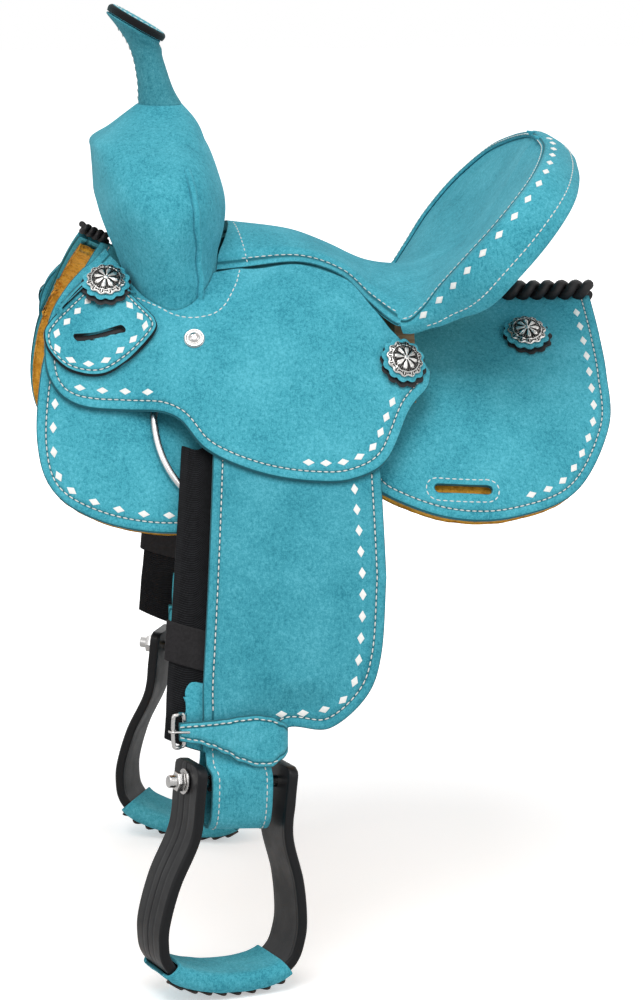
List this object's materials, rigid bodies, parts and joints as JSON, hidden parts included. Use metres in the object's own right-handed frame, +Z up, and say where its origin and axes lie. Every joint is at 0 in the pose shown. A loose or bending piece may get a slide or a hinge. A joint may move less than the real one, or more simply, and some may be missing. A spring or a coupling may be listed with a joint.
{
  "type": "barrel racing saddle",
  "caption": "Youth barrel racing saddle with a tall horn, deep padded seat, rolled cantle, fleece-lined skirts, hinged fenders and hanging stirrups.",
  "frame": {"origin": "on the line of the horse's back at the middle of the skirts, where the saddle rests", "axes": "+Z up, -X towards the horn and the horse's head, -Y towards the rider's left (near) side"},
  "size_m": [0.4186, 0.4866, 0.6778],
  "materials": {
    "suede": "rough-out suede",
    "suede_dark": "suede",
    "fleece": "woolly fleece",
    "black_leather": "smooth",
    "webbing": "ribbed nylon webbing",
    "black_plastic": "satin",
    "steel": "stainless",
    "silver": "antiqued",
    "wood": "plain",
    "iron": "plain"
  },
  "bodies": {
    "saddle": {"tree_fork": "wood", "tree_cantle": "wood", "fork_cover": "suede", "horn_core": "iron", "horn_wrap": "suede", "horn_cap": "suede", "ground_seat": "suede_dark", "seat": "suede", "cantle_roll": "suede", "cantle_back": "suede", "front_lacing": "black_leather", "rear_lacing": "black_leather", "left_tree_bar": "wood", "left_skirt": "suede", "left_fleece": "fleece", "left_jockey": "suede", "left_front_plate": "suede", "left_front_concho": "silver", "left_jockey_concho": "silver", "left_rear_concho": "silver", "left_front_rosette": "suede", "left_jockey_rosette": "suede", "left_rear_rosette": "suede", "left_jockey_screw": "steel", "left_rigging_strap": "black_leather", "left_leather_loop": "webbing", "left_dee_ring": "steel", "right_tree_bar": "wood", "right_skirt": "suede", "right_fleece": "fleece", "right_jockey": "suede", "right_front_plate": "suede", "right_front_concho": "silver", "right_jockey_concho": "silver", "right_rear_concho": "silver", "right_front_rosette": "suede", "right_jockey_rosette": "suede", "right_rear_rosette": "suede", "right_jockey_screw": "steel", "right_rigging_strap": "black_leather", "right_leather_loop": "webbing", "right_dee_ring": "steel"},
    "left_fender_body": {"left_stirrup_leather": "webbing", "left_fender": "suede", "left_hobble_strap": "suede", "left_hobble_buckle": "steel"},
    "left_keeper_body": {"left_leather_keeper": "black_leather"},
    "left_tongue_body": {"left_buckle_tongue": "steel"},
    "left_stirrup_body": {"left_stirrup": "black_plastic", "left_stirrup_bolt": "steel", "left_tread_cover": "suede"},
    "right_fender_body": {"right_stirrup_leather": "webbing", "right_fender": "suede", "right_hobble_strap": "suede", "right_hobble_buckle": "steel"},
    "right_keeper_body": {"right_leather_keeper": "black_leather"},
    "right_tongue_body": {"right_buckle_tongue": "steel"},
    "right_stirrup_body": {"right_stirrup": "black_plastic", "right_stirrup_bolt": "steel", "right_tread_cover": "suede"}
  },
  "joints": [
    {"name": "left_fender_lift", "type": "hinge", "parent": "saddle", "child": "left_fender_body", "pos_m": [-0.06, -0.1525, -0.11], "axis": [-1, 0, 0], "range_deg": [0, 40]},
    {"name": "left_stirrup_swing", "type": "hinge", "parent": "left_fender_body", "child": "left_stirrup_body", "pos_m": [-0.078, -0.2, -0.307], "axis": [0.9345, 0.3401, -0.1045], "range_deg": [-30, 30]},
    {"name": "left_keeper_slide", "type": "slide", "parent": "left_fender_body", "child": "left_keeper_body", "axis": [-0.0768, -0.1956, -0.9777], "range_m": [-0.006, 0.006]},
    {"name": "left_buckle_tongue_turn", "type": "hinge", "parent": "left_fender_body", "child": "left_tongue_body", "pos_m": [-0.12238, -0.21899, -0.272], "axis": [0, 0, -1], "range_deg": [0, 80]},
    {"name": "right_fender_lift", "type": "hinge", "parent": "saddle", "child": "right_fender_body", "pos_m": [-0.06, 0.1525, -0.11], "axis": [1, 0, 0], "range_deg": [0, 40]},
    {"name": "right_stirrup_swing", "type": "hinge", "parent": "right_fender_body", "child": "right_stirrup_body", "pos_m": [-0.078, 0.2, -0.307], "axis": [0.9345, -0.3401, -0.1045], "range_deg": [-30, 30]},
    {"name": "right_keeper_slide", "type": "slide", "parent": "right_fender_body", "child": "right_keeper_body", "axis": [-0.0768, 0.1956, -0.9777], "range_m": [-0.006, 0.006]},
    {"name": "right_buckle_tongue_turn", "type": "hinge", "parent": "right_fender_body", "child": "right_tongue_body", "pos_m": [-0.12238, 0.21899, -0.272], "axis": [0, 0, 1], "range_deg": [0, 80]}
  ]
}
